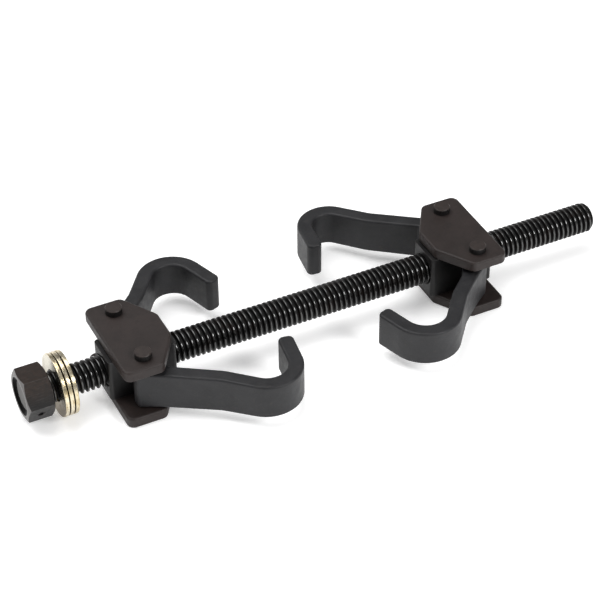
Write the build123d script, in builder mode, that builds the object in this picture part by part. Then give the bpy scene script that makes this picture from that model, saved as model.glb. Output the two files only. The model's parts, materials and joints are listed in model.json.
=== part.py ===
from build123d import *
import os
from math import sin, cos, tan, asin, radians, pi

os.makedirs("parts", exist_ok=True)

# Internal coil spring compressor, millimetres.
# Frame: origin at the centre of the drive nut's outer face, +X along the forcing
# screw towards its free end, +Z up, away from the bench the yokes rest on.

# ---- driving dimensions -----------------------------------------------------

# forcing screw
screw_dia = 16.0            # major diameter of the thread
screw_start = 1.2           # the screw's end stands this far inside the drive nut
screw_end = 323.2           # free end
end_chamfer = 1.7

# drive nut
nut_af = 24.0               # across flats
nut_len = 14.0
nut_face_dia = 23.0         # flat ring left by the 30 degree end chamfers
nut_chamfer = 1.15
nut_mouth_r = 9.9           # countersink round the screw's end, down to the bore at the screw's end face
nut_turn = 3.3              # corner angle above the horizontal, front side
roll_pin_dia = 4.0
roll_pin_bore = 2.6
roll_pin_len = 22.0
roll_pin_slot = 0.8

# thrust washers
washer_od = 32.6
washer_id = 16.8
washer_t = 2.0
washer_gap = 0.6
washer_start = 17.7

# yokes
pin_line_left = 57.9        # X of the left yoke's pivot pins
pin_line_right = 243.5      # X of the right yoke's pivot pins
pin_half = 18.7             # pivot pins stand at Y = +/- this
plate_t = 6.0
plate_top = 17.5            # outer face of the top plate
plate_bottom = -18.1        # outer face of the bottom plate
plate_back = 12.9           # back edge behind the pin line
plate_nose = 19.1           # nose in front of the pin line
plate_half = 27.8
plate_shoulder = 7.1        # where the taper to the nose starts
plate_nose_half = 8.6
plate_corner_r = 4.0
plate_nose_r = 5.0
plate_edge_r = 1.1
block_half = 10.0
block_proud = 2.0           # the block stands out past the plates, front and back
block_corner_r = 2.0
left_bore_dia = 17.0        # plain clearance bore
right_bore_dia = 16.1       # stands in for the mating thread

# pivot pins
pin_dia = 7.0               # shank, through the plates and the hook's eye
pin_head_dia = 8.6
pin_head_t = 3.4            # head, standing on the top plate
pin_chamfer = 0.35
pin_recess = 0.3            # lower end inside the bottom plate's face
pin_run = 0.05              # radial running clearance in the hook's eye

# hooks
hook_half = 4.0             # half the bar's thickness
hook_mid = -1.05            # Z of the hook's middle plane, nearer the bottom plate than the top
hook_root_h = 10.65         # half height at the eye
hook_tip_h = 9.55           # half height at the far end
eye_r = 6.22                # back of the eye, its centre is set inwards of the pin
eye_centre = (0.37, -1.02)
eye_blend = 12.0            # the inner side flares from the bar to the eye from here
eye_lean = 16.8             # slope of that flare
eye_out = 5.1               # outer side of the eye, nearly in line with the bar
eye_out_blend = 16.0
eye_heel = 50.5             # slope of the chamfered heel behind the pin
heel_r = 1.5
set_r = 20.0                # outward set of the arm
set_angle = 9.6
set_len = 15.8
tip_corner_r = 2.8          # the tip is cut square with rounded corners
hook_edge_r = 1.3

# each hook: straight arm before the set, centreline radius of the crook,
# heading of the tip from the arm's direction, length of the tip past the crook
left_front_hook = (36.8, 14.6, -114.0, 16.8)
left_rear_hook = (24.1, 14.1, -115.0, 17.5)
right_front_hook = (23.8, 15.1, -113.5, 15.0)
right_rear_hook = (37.5, 12.7, -119.2, 15.5)

# outward swing of each hook from the screw's direction, degrees
swing_left_front = 32.4
swing_left_rear = 43.4
swing_right_front = 41.4
swing_right_rear = 36.5


# ---- forcing screw, drive nut and its pin -----------------------------------

nut_mid = nut_len / 2
pin_tilt = 30.0 - nut_turn  # the cross hole runs square through a lower front flat
cross_plane = Plane(
    origin=(nut_mid, 0, 0),
    x_dir=(1, 0, 0),
    z_dir=(0, -cos(radians(pin_tilt)), -sin(radians(pin_tilt))),
)

with BuildPart() as forcing_screw:
    with BuildSketch(Plane.YZ.offset(screw_start)):
        Circle(screw_dia / 2)
    extrude(amount=screw_end - screw_start)
    chamfer(forcing_screw.faces().sort_by(Axis.X)[-1].edges(), end_chamfer)
    chamfer(forcing_screw.faces().sort_by(Axis.X)[0].edges(), 0.4)
    with BuildSketch(cross_plane):
        Circle(roll_pin_dia / 2)
    extrude(amount=20, both=True, mode=Mode.SUBTRACT)
forcing_screw.part.label = "forcing_screw"
export_step(forcing_screw.part, "parts/forcing_screw.step")

nut_r = nut_af / 2 / cos(radians(30))
with BuildPart() as drive_nut:
    with BuildSketch(Plane.YZ):
        RegularPolygon(nut_r, 6, rotation=-nut_turn)
    extrude(amount=nut_len)
    # both ends are turned to a 30 degree cone
    with BuildSketch(Plane.XZ):
        with BuildLine():
            Polyline(
                (0, 0),
                (0, nut_face_dia / 2),
                (nut_chamfer, nut_r + 0.15),
                (nut_len - nut_chamfer, nut_r + 0.15),
                (nut_len, nut_face_dia / 2),
                (nut_len, 0),
                close=True,
            )
        make_face()
    revolve(axis=Axis.X, revolution_arc=360, mode=Mode.INTERSECT)
    with BuildSketch(Plane.YZ):
        Circle(screw_dia / 2)
    extrude(amount=nut_len, mode=Mode.SUBTRACT)
    # countersink at the mouth of the bore
    with BuildSketch(Plane.XZ):
        with BuildLine():
            Polyline((0, 0), (0, nut_mouth_r), (screw_start, screw_dia / 2), (screw_start, 0), close=True)
        make_face()
    revolve(axis=Axis.X, revolution_arc=360, mode=Mode.SUBTRACT)
    with BuildSketch(cross_plane):
        Circle(roll_pin_dia / 2)
    extrude(amount=20, both=True, mode=Mode.SUBTRACT)
drive_nut.part.label = "drive_nut"
export_step(drive_nut.part, "parts/drive_nut.step")

with BuildPart() as drive_nut_roll_pin:
    with BuildSketch(cross_plane):
        Circle(roll_pin_dia / 2)
        Circle(roll_pin_bore / 2, mode=Mode.SUBTRACT)
        with Locations((roll_pin_dia / 2, 0)):
            Rectangle(roll_pin_dia, roll_pin_slot, mode=Mode.SUBTRACT)
    extrude(amount=roll_pin_len / 2, both=True)
drive_nut_roll_pin.part.label = "drive_nut_roll_pin"
export_step(drive_nut_roll_pin.part, "parts/drive_nut_roll_pin.step")


# ---- thrust washers ----------------------------------------------------------

def washer_ring(x0):
    """A flat washer with lightly broken outer edges, lying square to the screw."""
    with BuildPart() as ring:
        with BuildSketch(Plane.YZ.offset(x0)):
            Circle(washer_od / 2)
            Circle(washer_id / 2, mode=Mode.SUBTRACT)
        extrude(amount=washer_t)
        rims = ring.edges().filter_by(GeomType.CIRCLE).filter_by(
            lambda e: abs(e.radius - washer_od / 2) < 0.01
        )
        fillet(rims, 0.35)
    return ring.part


with BuildPart() as outer_thrust_washer:
    add(washer_ring(washer_start))
outer_thrust_washer.part.label = "outer_thrust_washer"
export_step(outer_thrust_washer.part, "parts/outer_thrust_washer.step")

with BuildPart() as middle_thrust_washer:
    add(washer_ring(washer_start + washer_t + washer_gap))
middle_thrust_washer.part.label = "middle_thrust_washer"
export_step(middle_thrust_washer.part, "parts/middle_thrust_washer.step")

with BuildPart() as inner_thrust_washer:
    add(washer_ring(washer_start + 2 * (washer_t + washer_gap)))
inner_thrust_washer.part.label = "inner_thrust_washer"
export_step(inner_thrust_washer.part, "parts/inner_thrust_washer.step")


# ---- yokes -------------------------------------------------------------------

def yoke_plate(pin_x, side, z0):
    """Plate with a square back and a blunt tapered nose; side is +1 with the nose towards +X."""
    with BuildPart() as plate:
        with BuildSketch(Plane.XY.offset(z0)) as outline:
            with BuildLine():
                Polyline(
                    (pin_x - side * plate_back, -plate_half),
                    (pin_x + side * plate_shoulder, -plate_half),
                    (pin_x + side * plate_nose, -plate_nose_half),
                    (pin_x + side * plate_nose, plate_nose_half),
                    (pin_x + side * plate_shoulder, plate_half),
                    (pin_x - side * plate_back, plate_half),
                    close=True,
                )
            make_face()
            nose = outline.vertices().group_by(Axis.X)[-1 if side > 0 else 0]
            rest = outline.vertices() - nose
            fillet(nose, plate_nose_r)
            rest = [v for v in outline.vertices() if any((v.center() - r.center()).length < 0.01 for r in rest)]
            fillet(rest, plate_corner_r)
        extrude(amount=plate_t)
        fillet(plate.faces().sort_by(Axis.Z)[-1].edges(), plate_edge_r)
        fillet(plate.faces().sort_by(Axis.Z)[0].edges(), plate_edge_r)
        with BuildSketch(Plane.XY.offset(z0)):
            with Locations((pin_x, -pin_half), (pin_x, pin_half)):
                Circle(pin_dia / 2)
        extrude(amount=plate_t, mode=Mode.SUBTRACT)
    return plate.part


def yoke_block(pin_x, side, bore_dia):
    """Square block between the plates, bored along the screw."""
    x0 = pin_x - side * (plate_back + block_proud)
    x1 = pin_x + side * (plate_nose + block_proud)
    z0 = plate_bottom + plate_t
    z1 = plate_top - plate_t
    with BuildPart() as block:
        with BuildSketch(Plane.XY.offset(z0)):
            with Locations(((x0 + x1) / 2, 0)):
                RectangleRounded(abs(x1 - x0), 2 * block_half, block_corner_r)
        extrude(amount=z1 - z0)
        with BuildSketch(Plane.YZ.offset(min(x0, x1) - 1)):
            Circle(bore_dia / 2)
        extrude(amount=abs(x1 - x0) + 2, mode=Mode.SUBTRACT)
        mouths = block.edges().filter_by(GeomType.CIRCLE).filter_by(
            lambda e: abs(e.radius - bore_dia / 2) < 0.01
        )
        chamfer(mouths, 0.6)
    return block.part


def pivot_pin(pin_x, y):
    """Headed pin, pressed through both plates, its chamfered head on the top plate."""
    z0 = plate_bottom + pin_recess
    with BuildPart() as pin:
        with BuildSketch(Plane.XY.offset(z0)):
            with Locations((pin_x, y)):
                Circle(pin_dia / 2)
        extrude(amount=plate_top - z0)
        with BuildSketch(Plane.XY.offset(plate_top)):
            with Locations((pin_x, y)):
                Circle(pin_head_dia / 2)
        extrude(amount=pin_head_t)
        chamfer(pin.faces().sort_by(Axis.Z)[-1].edges(), pin_chamfer)
    return pin.part


with BuildPart() as left_top_plate:
    add(yoke_plate(pin_line_left, 1, plate_top - plate_t))
left_top_plate.part.label = "left_top_plate"
export_step(left_top_plate.part, "parts/left_top_plate.step")

with BuildPart() as left_bottom_plate:
    add(yoke_plate(pin_line_left, 1, plate_bottom))
left_bottom_plate.part.label = "left_bottom_plate"
export_step(left_bottom_plate.part, "parts/left_bottom_plate.step")

with BuildPart() as left_block:
    add(yoke_block(pin_line_left, 1, left_bore_dia))
left_block.part.label = "left_block"
export_step(left_block.part, "parts/left_block.step")

with BuildPart() as left_front_pin:
    add(pivot_pin(pin_line_left, -pin_half))
left_front_pin.part.label = "left_front_pin"
export_step(left_front_pin.part, "parts/left_front_pin.step")

with BuildPart() as left_rear_pin:
    add(pivot_pin(pin_line_left, pin_half))
left_rear_pin.part.label = "left_rear_pin"
export_step(left_rear_pin.part, "parts/left_rear_pin.step")

with BuildPart() as right_top_plate:
    add(yoke_plate(pin_line_right, -1, plate_top - plate_t))
right_top_plate.part.label = "right_top_plate"
export_step(right_top_plate.part, "parts/right_top_plate.step")

with BuildPart() as right_bottom_plate:
    add(yoke_plate(pin_line_right, -1, plate_bottom))
right_bottom_plate.part.label = "right_bottom_plate"
export_step(right_bottom_plate.part, "parts/right_bottom_plate.step")

with BuildPart() as right_block:
    add(yoke_block(pin_line_right, -1, right_bore_dia))
right_block.part.label = "right_block"
export_step(right_block.part, "parts/right_block.step")

with BuildPart() as right_front_pin:
    add(pivot_pin(pin_line_right, -pin_half))
right_front_pin.part.label = "right_front_pin"
export_step(right_front_pin.part, "parts/right_front_pin.step")

with BuildPart() as right_rear_pin:
    add(pivot_pin(pin_line_right, pin_half))
right_rear_pin.part.label = "right_rear_pin"
export_step(right_rear_pin.part, "parts/right_rear_pin.step")


# ---- hooks -------------------------------------------------------------------

def j_hook(pin_x, pin_y, heading, flip, shape):
    """Forged J hook lying flat. Its arm leaves the eye along heading (degrees from +X).
    flip is +1 if the arm's outward side is to the left of its heading, -1 if to the right.
    The bar runs straight along the arm, sets outwards, then curls round the crook to the tip."""
    arm, crook_r, crook_end, tip_len = shape
    a = radians(heading)

    def at(u, v):
        v *= flip
        return (pin_x + u * cos(a) - v * sin(a), pin_y + u * sin(a) + v * cos(a))

    def on_arc(centre, r, ang):
        return (centre[0] + r * cos(ang), centre[1] + r * sin(ang))

    def beside(p, heading, v):
        return (p[0] - v * sin(heading), p[1] + v * cos(heading))

    s = radians(set_angle)
    e = radians(crook_end)
    w = hook_half
    # centreline stations
    p2 = (arm + set_r * sin(s), set_r * (1 - cos(s)))
    p3 = (p2[0] + set_len * cos(s), p2[1] + set_len * sin(s))
    c = beside(p3, s, -crook_r)
    p4 = beside(c, e, crook_r)
    p5 = (p4[0] + tip_len * cos(e), p4[1] + tip_len * sin(e))
    set_c = (arm, set_r)
    mid_set = -pi / 2 + s / 2
    mid_crook = ((pi / 2 + s) + (pi / 2 + e)) / 2

    # eye: round at the back and inside, nearly flat outside, with a chamfered heel
    flare = on_arc(eye_centre, eye_r, radians(eye_lean - 90))
    heel_in = on_arc(eye_centre, eye_r, radians(90 + eye_heel))
    heel_out = (heel_in[0] + (eye_out - heel_in[1]) / tan(radians(eye_heel)), eye_out)
    span = (eye_out_blend - heel_out[0], eye_out - w)
    sag_r = (span[0] ** 2 + span[1] ** 2) / (2 * span[1])
    half_turn = asin(span[0] / sag_r) / 2
    out_mid = (eye_out_blend - sag_r * sin(half_turn), w + sag_r * (1 - cos(half_turn)))

    with BuildPart() as hook:
        with BuildSketch(Plane.XY.offset(hook_mid - 14)) as outline:
            with BuildLine():
                ThreePointArc(at(*heel_out), at(*out_mid), at(eye_out_blend, w))
                Line(at(eye_out_blend, w), at(arm, w))
                ThreePointArc(at(arm, w), at(*on_arc(set_c, set_r - w, mid_set)), at(*beside(p2, s, w)))
                Line(at(*beside(p2, s, w)), at(*beside(p3, s, w)))
                ThreePointArc(at(*beside(p3, s, w)), at(*on_arc(c, crook_r + w, mid_crook)), at(*beside(p4, e, w)))
                Line(at(*beside(p4, e, w)), at(*beside(p5, e, w)))
                Line(at(*beside(p5, e, w)), at(*beside(p5, e, -w)))
                Line(at(*beside(p5, e, -w)), at(*beside(p4, e, -w)))
                ThreePointArc(at(*beside(p4, e, -w)), at(*on_arc(c, crook_r - w, mid_crook)), at(*beside(p3, s, -w)))
                Line(at(*beside(p3, s, -w)), at(*beside(p2, s, -w)))
                ThreePointArc(at(*beside(p2, s, -w)), at(*on_arc(set_c, set_r + w, mid_set)), at(arm, -w))
                Line(at(arm, -w), at(eye_blend, -w))
                Line(at(eye_blend, -w), at(*flare))
                ThreePointArc(at(*flare), at(*on_arc(eye_centre, eye_r, radians(200))), at(*heel_in))
                Line(at(*heel_in), at(*heel_out))
            make_face()
            fillet(outline.vertices().sort_by_distance((*at(*p5), 0))[:2], tip_corner_r)
            fillet(outline.vertices().sort_by_distance((*at(*heel_out), 0))[:1], heel_r)
        extrude(amount=28)
        # the forging is a little deeper at the eye than at the crook
        reach = c[0] + crook_r + 12
        side = Plane(origin=(pin_x, pin_y, hook_mid), x_dir=(cos(a), sin(a), 0), z_dir=(sin(a), -cos(a), 0))
        with BuildSketch(side):
            with BuildLine():
                Polyline(
                    (-12, -hook_root_h),
                    (-12, hook_root_h),
                    (reach, hook_tip_h),
                    (reach, -hook_tip_h),
                    close=True,
                )
            make_face()
        extrude(amount=80, both=True, mode=Mode.INTERSECT)
        fillet(hook.faces().sort_by(Axis.Z)[-1].edges() + hook.faces().sort_by(Axis.Z)[0].edges(), hook_edge_r)
        with BuildSketch(Plane.XY.offset(hook_mid - 14)):
            with Locations((pin_x, pin_y)):
                Circle(pin_dia / 2 + pin_run)
        extrude(amount=28, mode=Mode.SUBTRACT)
    return hook.part


with BuildPart() as left_long_hook:
    add(j_hook(pin_line_left, -pin_half, -swing_left_front, -1, left_front_hook))
left_long_hook.part.label = "left_long_hook"
export_step(left_long_hook.part, "parts/left_long_hook.step")

with BuildPart() as left_short_hook:
    add(j_hook(pin_line_left, pin_half, swing_left_rear, 1, left_rear_hook))
left_short_hook.part.label = "left_short_hook"
export_step(left_short_hook.part, "parts/left_short_hook.step")

with BuildPart() as right_short_hook:
    add(j_hook(pin_line_right, -pin_half, 180 + swing_right_front, 1, right_front_hook))
right_short_hook.part.label = "right_short_hook"
export_step(right_short_hook.part, "parts/right_short_hook.step")

with BuildPart() as right_long_hook:
    add(j_hook(pin_line_right, pin_half, 180 - swing_right_rear, -1, right_rear_hook))
right_long_hook.part.label = "right_long_hook"
export_step(right_long_hook.part, "parts/right_long_hook.step")
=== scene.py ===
import json
import math

import bpy
from mathutils import Matrix, Vector


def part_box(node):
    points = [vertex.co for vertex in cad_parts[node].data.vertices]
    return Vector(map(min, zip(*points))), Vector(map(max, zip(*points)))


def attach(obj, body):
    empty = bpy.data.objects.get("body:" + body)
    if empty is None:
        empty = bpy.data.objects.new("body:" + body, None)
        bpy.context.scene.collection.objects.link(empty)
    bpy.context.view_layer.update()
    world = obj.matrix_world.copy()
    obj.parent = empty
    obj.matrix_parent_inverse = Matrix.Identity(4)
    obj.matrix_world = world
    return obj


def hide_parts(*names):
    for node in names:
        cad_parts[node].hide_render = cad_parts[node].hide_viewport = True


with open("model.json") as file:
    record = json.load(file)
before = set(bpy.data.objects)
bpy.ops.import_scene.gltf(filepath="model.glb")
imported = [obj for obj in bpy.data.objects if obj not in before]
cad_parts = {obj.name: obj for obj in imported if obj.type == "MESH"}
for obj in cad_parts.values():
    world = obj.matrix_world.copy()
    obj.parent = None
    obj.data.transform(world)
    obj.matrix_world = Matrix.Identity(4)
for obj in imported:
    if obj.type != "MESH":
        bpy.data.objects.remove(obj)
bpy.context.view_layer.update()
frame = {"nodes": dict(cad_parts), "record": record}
nodes = frame["nodes"]

# ---- camera ------------------------------------------------------------------

scene = bpy.context.scene
scene.view_settings.view_transform = "Standard"
scene.view_settings.look = "None"

cam_data = bpy.data.cameras.new("camera")
cam_data.sensor_width = 36.0
cam_data.lens = 119.448
cam_data.clip_start = 0.05
cam_data.clip_end = 20.0
camera = bpy.data.objects.new("camera", cam_data)
scene.collection.objects.link(camera)
right = Vector((0.895722, -0.444596, -0.004042))
up = Vector((0.285234, 0.567636, 0.772289))
back = Vector((-0.341062, -0.692910, 0.635258))
place = Vector((-0.19837, -0.71710, 0.65700))
camera.matrix_world = Matrix((
    (right.x, up.x, back.x, place.x),
    (right.y, up.y, back.y, place.y),
    (right.z, up.z, back.z, place.z),
    (0.0, 0.0, 0.0, 1.0),
))
scene.camera = camera


# ---- node material helpers -----------------------------------------------------

class Shade:
    """A small builder for one procedural material. Lengths in the patterns are millimetres."""

    def __init__(self, name):
        self.mat = bpy.data.materials.new(name)
        self.mat.use_nodes = True
        self.nt = self.mat.node_tree
        self.nt.nodes.clear()
        self.out = self.nt.nodes.new("ShaderNodeOutputMaterial")
        self.bsdf = self.nt.nodes.new("ShaderNodeBsdfPrincipled")
        self.nt.links.new(self.bsdf.outputs[0], self.out.inputs[0])
        tc = self.nt.nodes.new("ShaderNodeTexCoord")
        self.mm = self.vec("SCALE", tc.outputs["Object"], scale=1000.0)

    def put(self, socket, value):
        if hasattr(value, "is_output"):
            self.nt.links.new(value, socket)
        elif isinstance(value, (tuple, list)):
            socket.default_value = tuple(value) if len(value) == len(socket.default_value) else tuple(value) + (1.0,)
        else:
            socket.default_value = value

    def vec(self, op, a, b=None, scale=None):
        n = self.nt.nodes.new("ShaderNodeVectorMath")
        n.operation = op
        self.put(n.inputs[0], a)
        if b is not None:
            self.put(n.inputs[1], b)
        if scale is not None:
            self.put(n.inputs["Scale"], scale)
        return n.outputs["Vector"]

    def length(self, a):
        n = self.nt.nodes.new("ShaderNodeVectorMath")
        n.operation = "LENGTH"
        self.put(n.inputs[0], a)
        return n.outputs["Value"]

    def dot(self, a, b):
        n = self.nt.nodes.new("ShaderNodeVectorMath")
        n.operation = "DOT_PRODUCT"
        self.put(n.inputs[0], a)
        self.put(n.inputs[1], b)
        return n.outputs["Value"]

    def maths(self, op, a, b=0.0, c=None, clamp=False):
        n = self.nt.nodes.new("ShaderNodeMath")
        n.operation = op
        n.use_clamp = clamp
        self.put(n.inputs[0], a)
        self.put(n.inputs[1], b)
        if c is not None:
            self.put(n.inputs[2], c)
        return n.outputs[0]

    def split(self, v):
        n = self.nt.nodes.new("ShaderNodeSeparateXYZ")
        self.put(n.inputs[0], v)
        return n.outputs

    def join(self, x, y, z):
        n = self.nt.nodes.new("ShaderNodeCombineXYZ")
        for s, v in zip(n.inputs, (x, y, z)):
            self.put(s, v)
        return n.outputs[0]

    def noise(self, size, detail=2.0, rough=0.5, at=None, distort=0.0, lacunarity=2.0):
        """Soft noise whose features are about size millimetres across."""
        n = self.nt.nodes.new("ShaderNodeTexNoise")
        self.put(n.inputs["Vector"], self.mm if at is None else at)
        n.inputs["Scale"].default_value = 1.0 / size
        n.inputs["Detail"].default_value = detail
        n.inputs["Roughness"].default_value = rough
        n.inputs["Distortion"].default_value = distort
        n.inputs["Lacunarity"].default_value = lacunarity
        return n.outputs["Fac"]

    def cells(self, size, feature="F1", at=None, randomness=1.0):
        n = self.nt.nodes.new("ShaderNodeTexVoronoi")
        n.feature = feature
        self.put(n.inputs["Vector"], self.mm if at is None else at)
        n.inputs["Scale"].default_value = 1.0 / size
        n.inputs["Randomness"].default_value = randomness
        return n.outputs["Distance"]

    def span(self, value, a, b, c=0.0, d=1.0, smooth=False):
        n = self.nt.nodes.new("ShaderNodeMapRange")
        n.interpolation_type = "SMOOTHSTEP" if smooth else "LINEAR"
        for s, v in zip(n.inputs[:5], (value, a, b, c, d)):
            self.put(s, v)
        return n.outputs[0]

    def mix(self, fac, a, b, how="MIX"):
        n = self.nt.nodes.new("ShaderNodeMix")
        n.data_type = "RGBA"
        n.blend_type = how
        self.put(n.inputs[0], fac)
        self.put(n.inputs[6], a)
        self.put(n.inputs[7], b)
        return n.outputs[2]

    def blend(self, fac, a, b):
        n = self.nt.nodes.new("ShaderNodeMix")
        n.data_type = "FLOAT"
        self.put(n.inputs[0], fac)
        self.put(n.inputs[2], a)
        self.put(n.inputs[3], b)
        return n.outputs[0]

    def edges(self, radius_mm, low=0.02, high=0.25):
        """1 on outside edges, 0 on open faces."""
        bevel = self.nt.nodes.new("ShaderNodeBevel")
        bevel.samples = 6
        bevel.inputs["Radius"].default_value = radius_mm / 1000.0
        geo = self.nt.nodes.new("ShaderNodeNewGeometry")
        d = self.dot(bevel.outputs[0], geo.outputs["True Normal"])
        return self.span(self.maths("SUBTRACT", 1.0, d), low, high, smooth=True)

    def facing(self, direction, low, high):
        """1 where the surface faces direction, 0 where it faces away."""
        geo = self.nt.nodes.new("ShaderNodeNewGeometry")
        return self.span(self.dot(geo.outputs["True Normal"], direction), low, high, smooth=True)

    def bump(self, height, distance_mm, strength=1.0, under=None):
        n = self.nt.nodes.new("ShaderNodeBump")
        n.inputs["Strength"].default_value = strength
        n.inputs["Distance"].default_value = distance_mm / 1000.0
        self.put(n.inputs["Height"], height)
        if under is not None:
            self.put(n.inputs["Normal"], under)
        return n.outputs[0]

    def set(self, **values):
        names = {
            "colour": "Base Color", "rough": "Roughness", "metal": "Metallic", "normal": "Normal",
            "spec": "Specular IOR Level", "coat": "Coat Weight", "coat_rough": "Coat Roughness",
            "aniso": "Anisotropic", "sheen": "Sheen Weight", "ior": "IOR", "coat_normal": "Coat Normal",
            "glow": "Emission Color", "glow_power": "Emission Strength",
        }
        for k, v in values.items():
            self.put(self.bsdf.inputs[names[k]], v)
        return self.mat


def lin(r, g, b):
    """A display colour, 0 to 255, as linear light."""
    return tuple(((c / 255.0) / 12.92 if c / 255.0 <= 0.04045 else ((c / 255.0 + 0.055) / 1.055) ** 2.4) for c in (r, g, b))


# ---- materials -----------------------------------------------------------------

def hook_material():
    """Charcoal paint over a forging: soft hammered waviness, a fine grain, lighter rubbed edges."""
    s = Shade("hook_paint")
    broad = s.noise(14.0, 3.0, 0.55)
    patch = s.noise(4.0, 4.0, 0.6)
    grain = s.noise(0.55, 3.0, 0.6)
    colour = s.mix(s.span(broad, 0.35, 0.65), lin(29, 29, 31), lin(37, 37, 39))
    colour = s.mix(s.span(patch, 0.52, 0.72, 0.0, 0.55), colour, lin(46, 45, 46))
    colour = s.mix(s.span(grain, 0.35, 0.7, 0.0, 0.35), colour, lin(24, 24, 25))
    dust = s.maths("MULTIPLY", s.span(s.noise(2.2, 4.0, 0.65), 0.6, 0.72), 0.35)
    colour = s.mix(dust, colour, lin(60, 52, 46))
    rub = s.maths("MULTIPLY", s.edges(0.9), s.span(s.noise(3.0, 3.0, 0.6), 0.35, 0.6))
    colour = s.mix(s.maths("MULTIPLY", rub, 0.55), colour, lin(86, 86, 90))
    rough = s.blend(s.span(patch, 0.3, 0.7), 0.40, 0.54)
    rough = s.maths("ADD", rough, s.span(grain, 0.3, 0.7, -0.03, 0.05))
    n = s.bump(s.noise(7.0, 1.0, 0.4), 0.35, 0.55)
    n = s.bump(patch, 0.10, 0.5, n)
    n = s.bump(grain, 0.035, 0.55, n)
    pits = s.span(s.cells(1.7), 0.0, 0.22)
    n = s.bump(pits, 0.03, 0.35, n)
    return s.set(colour=colour, rough=rough, normal=n, spec=0.30)


def plate_material():
    """Warm black paint on cut plate: low blotches, fine orange peel, greyer worn edges."""
    s = Shade("plate_paint")
    broad = s.noise(16.0, 3.0, 0.6)
    patch = s.noise(3.2, 4.0, 0.6)
    grain = s.noise(0.45, 2.0, 0.6)
    colour = s.mix(s.span(broad, 0.38, 0.62), lin(33, 26, 24), lin(40, 32, 30))
    colour = s.mix(s.span(patch, 0.5, 0.75, 0.0, 0.5), colour, lin(26, 21, 20))
    scuff_at = s.vec("MULTIPLY", s.mm, (0.35, 2.6, 1.0))
    scuff = s.maths("MULTIPLY", s.span(s.noise(1.1, 3.0, 0.7, at=scuff_at), 0.62, 0.75), 0.4)
    colour = s.mix(scuff, colour, lin(54, 46, 43))
    rub = s.maths("MULTIPLY", s.edges(0.8), s.span(s.noise(2.4, 3.0, 0.6), 0.3, 0.6))
    colour = s.mix(s.maths("MULTIPLY", rub, 0.6), colour, lin(96, 92, 90))
    rough = s.blend(s.span(broad, 0.3, 0.7), 0.44, 0.58)
    rough = s.maths("ADD", rough, s.span(patch, 0.3, 0.7, -0.04, 0.06))
    n = s.bump(s.noise(5.0, 2.0, 0.5), 0.10, 0.4)
    n = s.bump(grain, 0.03, 0.5, n)
    return s.set(colour=colour, rough=rough, normal=n, spec=0.32)


def block_material():
    """Black paint on a cut steel block, its colours taken near black as painted shade for the hollow between the
    plates, with faint saw lines under it.
    """
    s = Shade("block_paint")
    broad = s.noise(9.0, 3.0, 0.6)
    grain = s.noise(0.5, 2.0, 0.6)
    lines_at = s.vec("MULTIPLY", s.mm, (3.0, 3.0, 0.12))
    lines = s.noise(1.0, 3.0, 0.6, at=lines_at)
    # painted shade: these base colours are darker than the plates' paint to stand for the shade between the plates
    colour = s.mix(s.span(broad, 0.35, 0.65), lin(12, 11, 12), lin(20, 19, 19))
    colour = s.mix(s.span(lines, 0.45, 0.7, 0.0, 0.4), colour, lin(40, 38, 38))
    rub = s.maths("MULTIPLY", s.edges(0.8), s.span(s.noise(2.6, 3.0, 0.6), 0.3, 0.6))
    colour = s.mix(s.maths("MULTIPLY", rub, 0.6), colour, lin(94, 92, 92))
    rough = s.blend(s.span(broad, 0.3, 0.7), 0.38, 0.52)
    n = s.bump(lines, 0.02, 0.5)
    n = s.bump(grain, 0.03, 0.4, n)
    return s.set(colour=colour, rough=rough, normal=n, spec=0.3)


def pin_material():
    """Black oxide on a turned pin: fine rings on the end, a little brown."""
    s = Shade("pin_steel")
    patch = s.noise(2.6, 4.0, 0.6)
    colour = s.mix(s.span(patch, 0.35, 0.68), lin(36, 29, 27), lin(46, 38, 35))
    # painted shade: every face that does not face up is painted near black, so the pin's sides are darker than its
    # top
    colour = s.mix(s.facing((0.0, 0.0, 1.0), 0.1, 0.6), lin(11, 9, 9), colour)
    rub = s.maths("MULTIPLY", s.edges(0.5), s.span(s.noise(1.4, 3.0, 0.6), 0.3, 0.6))
    colour = s.mix(s.maths("MULTIPLY", rub, 0.2), colour, lin(70, 62, 58))
    rough = s.blend(s.span(patch, 0.3, 0.7), 0.44, 0.56)
    n = s.bump(s.noise(0.4, 3.0, 0.6), 0.025, 0.5)
    return s.set(colour=colour, rough=rough, normal=n, spec=0.32)


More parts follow.
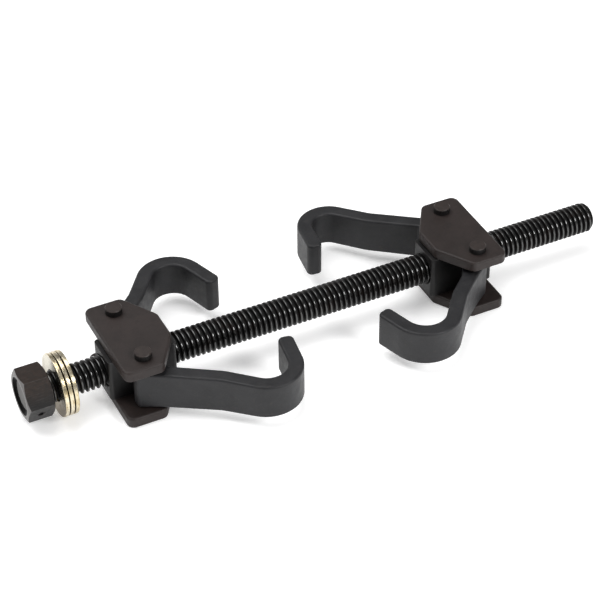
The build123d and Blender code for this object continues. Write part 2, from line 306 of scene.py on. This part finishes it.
def screw_material():
    """Black oxide thread: matt grooves, glossy crests with thin rubbed corners, brown in places."""
    s = Shade("black_oxide_screw")
    x, y, z = s.split(s.mm)[:3]
    radius = s.length(s.join(0.0, y, z))
    crest = s.span(radius, 7.86, 7.98, smooth=True)
    corner = s.maths("MULTIPLY", s.span(radius, 7.80, 7.92, smooth=True), s.span(radius, 7.995, 7.97, smooth=True))
    patch = s.noise(5.0, 4.0, 0.6)
    fine = s.noise(0.5, 3.0, 0.6)
    colour = s.mix(s.span(patch, 0.35, 0.65), lin(5, 5, 5), lin(9, 9, 9))
    brown = s.maths("MULTIPLY", s.span(s.noise(9.0, 4.0, 0.65), 0.52, 0.68), 0.5)
    colour = s.mix(brown, colour, lin(26, 18, 14))
    worn = s.maths("MULTIPLY", corner, s.span(s.noise(1.6, 4.0, 0.65), 0.36, 0.6, 0.3, 1.0))
    colour = s.mix(s.maths("MULTIPLY", worn, 0.45), colour, lin(92, 88, 86))
    face = s.maths("MULTIPLY", s.facing((-1.0, 0.0, 0.0), 0.7, 0.9), s.span(x, 3.0, 2.0))
    colour = s.mix(face, colour, s.mix(s.span(fine, 0.35, 0.65), lin(78, 77, 76), lin(106, 104, 102)))
    rough = s.blend(crest, 0.50, s.span(s.noise(2.2, 3.0, 0.6), 0.3, 0.7, 0.12, 0.19))
    rough = s.blend(face, rough, 0.5)
    drawn_at = s.vec("MULTIPLY", s.mm, (1.0, 0.3, 0.3))
    n = s.bump(s.noise(0.35, 3.0, 0.6, at=drawn_at), 0.012, 0.5)
    return s.set(colour=colour, rough=rough, normal=n, spec=s.blend(crest, 0.12, 0.9))


def nut_material():
    """Black oxide on hex stock: faint drawing lines along the flats, brown bloom, rubbed corners."""
    s = Shade("black_oxide_nut")
    broad = s.noise(8.0, 3.0, 0.6)
    patch = s.noise(2.0, 4.0, 0.65)
    drawn_at = s.vec("MULTIPLY", s.mm, (0.18, 2.4, 2.4))
    drawn = s.noise(1.0, 3.0, 0.65, at=drawn_at)
    colour = s.mix(s.span(broad, 0.35, 0.65), lin(10, 9, 9), lin(16, 14, 13))
    height = s.split(s.mm)[2]
    bloom = s.maths("MULTIPLY", s.span(height, 2.0, 10.0), s.span(patch, 0.35, 0.6, 0.35, 1.0))
    colour = s.mix(s.maths("MULTIPLY", bloom, 0.75), colour, lin(46, 33, 25))
    colour = s.mix(s.span(drawn, 0.5, 0.75, 0.0, 0.35), colour, lin(62, 60, 60))
    x, y, z = s.split(s.mm)[:3]
    radius = s.length(s.join(0.0, y, z))
    end = s.maths("MULTIPLY", s.facing((-1.0, 0.0, 0.0), 0.35, 0.6), s.span(patch, 0.25, 0.6, 0.7, 1.0))
    ring = s.span(radius, 9.85, 9.95)
    colour = s.mix(s.maths("MULTIPLY", s.maths("MULTIPLY", end, ring), 0.85), colour, lin(118, 116, 115))
    # painted shade: the countersink in the nut's mouth is painted near black and given almost no specular, so the
    # recess reads as shaded
    countersink_painted_shade = s.maths("MULTIPLY", s.span(radius, 9.9, 9.8), s.span(x, 2.0, 1.5))
    colour = s.mix(countersink_painted_shade, colour, lin(4, 4, 4))
    rub = s.maths("MULTIPLY", s.edges(0.6), s.span(s.noise(1.8, 3.0, 0.6), 0.3, 0.6))
    colour = s.mix(s.maths("MULTIPLY", rub, 0.6), colour, lin(96, 92, 90))
    rough = s.blend(s.span(patch, 0.3, 0.7), 0.38, 0.52)
    n = s.bump(drawn, 0.02, 0.5)
    n = s.bump(s.noise(0.4, 3.0, 0.6), 0.02, 0.4, n)
    return s.set(colour=colour, rough=rough, normal=n, spec=s.blend(countersink_painted_shade, 0.26, 0.02))


def roll_pin_material():
    """Blackened spring steel."""
    s = Shade("spring_steel")
    patch = s.noise(1.2, 4.0, 0.6)
    colour = s.mix(s.span(patch, 0.35, 0.65), lin(20, 20, 22), lin(34, 33, 34))
    rub = s.edges(0.25)
    colour = s.mix(s.maths("MULTIPLY", rub, 0.5), colour, lin(88, 86, 86))
    rough = s.blend(s.span(patch, 0.3, 0.7), 0.30, 0.45)
    n = s.bump(s.noise(0.3, 3.0, 0.6), 0.015, 0.5)
    return s.set(colour=colour, rough=rough, normal=n, spec=0.6, metal=0.4)


def zinc_material():
    """Yellow zinc: pale gold going to olive brown, fine turning rings, streaks and handling marks; the left faces
    carry painted light and shade, paler at the top and browner lower down.
    """
    s = Shade("yellow_zinc")
    x, y, z = s.split(s.mm)[:3]
    radius = s.length(s.join(0.0, y, z))
    rings = s.noise(0.22, 3.0, 0.6, at=s.join(s.maths("MULTIPLY", x, 1.0), radius, 0.0))
    drift = s.noise(6.0, 3.0, 0.6)
    streak_at = s.vec("MULTIPLY", s.mm, (1.6, 0.35, 0.35))
    streak = s.noise(1.0, 4.0, 0.65, at=streak_at)
    colour = s.mix(s.span(drift, 0.36, 0.64), lin(198, 184, 148), lin(222, 214, 192))
    colour = s.mix(s.span(streak, 0.5, 0.68, 0.0, 0.85), colour, lin(118, 94, 58))
    stain = s.maths("MULTIPLY", s.span(s.noise(2.5, 4.0, 0.65), 0.52, 0.7), 0.6)
    colour = s.mix(stain, colour, lin(150, 128, 82))
    # painted reflection and painted shade: on faces looking along -X the colour runs from brown low down to pale
    # grey high up, for the bright floor reflected at the top and the nut's shadow below
    face = s.mix(s.span(s.maths("ADD", z, s.span(streak, 0.3, 0.7, -3.0, 3.0)), -6.0, 9.0), lin(112, 94, 62), lin(196, 190, 172))
    colour = s.mix(s.facing((-1.0, 0.0, 0.0), 0.8, 0.95), colour, face)
    colour = s.mix(s.span(rings, 0.5, 0.8, 0.0, 0.35), colour, lin(240, 236, 222))
    rough = s.blend(s.span(drift, 0.3, 0.7), 0.17, 0.28)
    rough = s.maths("ADD", rough, s.span(s.noise(0.6, 3.0, 0.6), 0.3, 0.7, -0.03, 0.06))
    n = s.bump(rings, 0.012, 0.6)
    n = s.bump(s.noise(0.5, 3.0, 0.6), 0.010, 0.4, n)
    n = s.bump(s.noise(3.0, 2.0, 0.5), 0.06, 0.5, n)
    return s.set(colour=colour, rough=rough, normal=n, metal=1.0)


MATERIALS = {
    "hook_paint": hook_material(),
    "plate_paint": plate_material(),
    "block_paint": block_material(),
    "pin_steel": pin_material(),
    "black_oxide_screw": screw_material(),
    "black_oxide_nut": nut_material(),
    "spring_steel": roll_pin_material(),
    "yellow_zinc": zinc_material(),
}
SLOT_OF = {p["node"]: p["material_slot"] for p in frame["record"]["subparts"]}
for name, ob in nodes.items():
    ob.data.materials.clear()
    ob.data.materials.append(MATERIALS[SLOT_OF[name]])


# ---- forcing screw with its real thread ----------------------------------------

PITCH = 25.4 / 9.0
PHASE = 0.5  # where the first crest falls, in pitches
CREST_R = 8.0
ROOT_R = 6.55
# one pitch of the thread as (share of the pitch, radius): crest, flank, root, flank
FORM = [
    (0.000, 7.84), (0.018, 7.95), (0.045, CREST_R), (0.165, CREST_R), (0.285, CREST_R), (0.312, 7.95), (0.330, 7.84),
    (0.480, 6.80), (0.510, 6.64), (0.550, ROOT_R), (0.650, ROOT_R), (0.750, ROOT_R), (0.790, 6.64), (0.820, 6.80),
]


def form_radius(share):
    share -= math.floor(share)
    for (a, ra), (b, rb) in zip(FORM, FORM[1:] + [(1.0, FORM[0][1])]):
        if share <= b:
            return ra + (rb - ra) * (share - a) / (b - a)
    return FORM[0][1]


def thread_mesh(x0, x1, cut0, cut1, around=72):
    """Right-hand thread from x0 to x1, its ends turned down by 45 degree cuts. Millimetres in, metres out."""
    per = len(FORM)
    turns = int((x1 - x0) / PITCH) + 5

    def limit(x):
        return min(CREST_R - cut0 + (x - x0), CREST_R - cut1 + (x1 - x))

    verts, faces = [], []

    def add(x, r, k):
        a = 2 * math.pi * k / around
        verts.append((x / 1000.0, r * math.cos(a) / 1000.0, r * math.sin(a) / 1000.0))
        return len(verts) - 1

    rows = turns * per
    ring0, ring1, grid = [], [], []
    for k in range(around):
        lead = k / around + PHASE
        ring0.append(add(x0, min(limit(x0), form_radius((x0 - x0) / PITCH - lead)), k))
        ring1.append(add(x1, min(limit(x1), form_radius((x1 - x0) / PITCH - lead)), k))
        column = []
        for j in range(rows):
            share, r = FORM[j % per]
            x = x0 + (j // per - 2 + share + lead) * PITCH
            if x <= x0 + 0.02:
                column.append(ring0[k])
            elif x >= x1 - 0.02:
                column.append(ring1[k])
            else:
                column.append(add(x, min(r, limit(x)), k))
        grid.append(column)

    def at(j, k):
        # one turn on, the same row of the first column is one pitch further along
        if k == around:
            j, k = j + per, 0
        return grid[k][j]

    for k in range(around):
        for j in range(rows - per - 1):
            quad = [at(j, k), at(j + 1, k), at(j + 1, k + 1), at(j, k + 1)]
            face = []
            for v in quad:
                if v not in face:
                    face.append(v)
            if len(face) > 2:
                faces.append(face)
    c0 = add(x0, 0.0, 0)
    c1 = add(x1, 0.0, 0)
    for k in range(around):
        n = (k + 1) % around
        faces.append([c0, ring0[k], ring0[n]])
        faces.append([c1, ring1[n], ring1[k]])
    return verts, faces


low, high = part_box("forcing_screw")
verts, faces = thread_mesh(low.x * 1000, high.x * 1000, 0.4, 1.7)
mesh = bpy.data.meshes.new("threaded_screw")
mesh.from_pydata(verts, [], faces)
mesh.validate()
mesh.polygons.foreach_set("use_smooth", [True] * len(mesh.polygons))
mesh.set_sharp_from_angle(angle=math.radians(38))
mesh.materials.append(MATERIALS["black_oxide_screw"])
screw = bpy.data.objects.new("threaded_screw", mesh)
scene.collection.objects.link(screw)
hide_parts("forcing_screw")
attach(screw, "screw")


# ---- floor, lights ---------------------------------------------------------------

def floor_material():
    s = Shade("floor_paper")
    soft = s.noise(60.0, 2.0, 0.5)
    colour = s.mix(s.span(soft, 0.3, 0.7), (0.90, 0.90, 0.90), (0.92, 0.92, 0.92))
    n = s.bump(s.noise(0.8, 2.0, 0.5), 0.01, 0.2)
    # painted light: the floor glows, a little less behind the screw as painted shade for the faces that look at it
    # there, more far from the object
    y = s.split(s.mm)[1]
    glow = s.span(y, -110.0, 20.0, 0.55, 0.32, smooth=True)
    glow = s.blend(s.span(s.length(s.mm), 400.0, 1000.0, smooth=True), glow, 0.95)
    return s.set(colour=colour, rough=0.75, normal=n, spec=0.2, glow=colour, glow_power=glow)


floor_z = min(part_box(n)[0].z for n in nodes) - 0.00002
side = 3.0
floor_mesh = bpy.data.meshes.new("floor")
floor_mesh.from_pydata([(-side, -side, floor_z), (side, -side, floor_z), (side, side, floor_z), (-side, side, floor_z)], [], [(0, 1, 2, 3)])
floor_mesh.materials.append(floor_material())
floor = bpy.data.objects.new("floor", floor_mesh)
scene.collection.objects.link(floor)

world = bpy.data.worlds.new("studio")
scene.world = world
world.use_nodes = True
world.node_tree.nodes["Background"].inputs[0].default_value = (1.0, 1.0, 1.0, 1.0)
wt = world.node_tree
wt_at = wt.nodes.new("ShaderNodeTexCoord")
wt_split = wt.nodes.new("ShaderNodeSeparateXYZ")
wt_fade = wt.nodes.new("ShaderNodeMapRange")
wt_fade.interpolation_type = "SMOOTHSTEP"
for socket, value in zip(wt_fade.inputs[1:5], (0.04, 0.30, 0.98, 0.28)):
    socket.default_value = value
wt.links.new(wt_at.outputs["Generated"], wt_split.inputs[0])
wt.links.new(wt_split.outputs["Z"], wt_fade.inputs[0])
wt.links.new(wt_fade.outputs[0], wt.nodes["Background"].inputs[1])


def softbox(name, direction, distance, size_x, size_y, power, target=(0.16, 0.0, 0.0), colour=(1.0, 1.0, 1.0)):
    data = bpy.data.lights.new(name, "AREA")
    data.shape = "RECTANGLE"
    data.size = size_x
    data.size_y = size_y
    data.energy = power
    data.color = colour
    light = bpy.data.objects.new(name, data)
    scene.collection.objects.link(light)
    d = Vector(direction).normalized()
    light.location = Vector(target) + d * distance
    light.rotation_mode = "QUATERNION"
    light.rotation_quaternion = (-d).to_track_quat("-Z", "Y")
    return light


softbox("key", (-0.30, 0.30, 1.0), 1.4, 1.3, 1.3, 20.0)
softbox("front", (0.34, -0.70, 0.63), 1.2, 0.38, 0.38, 8.0)
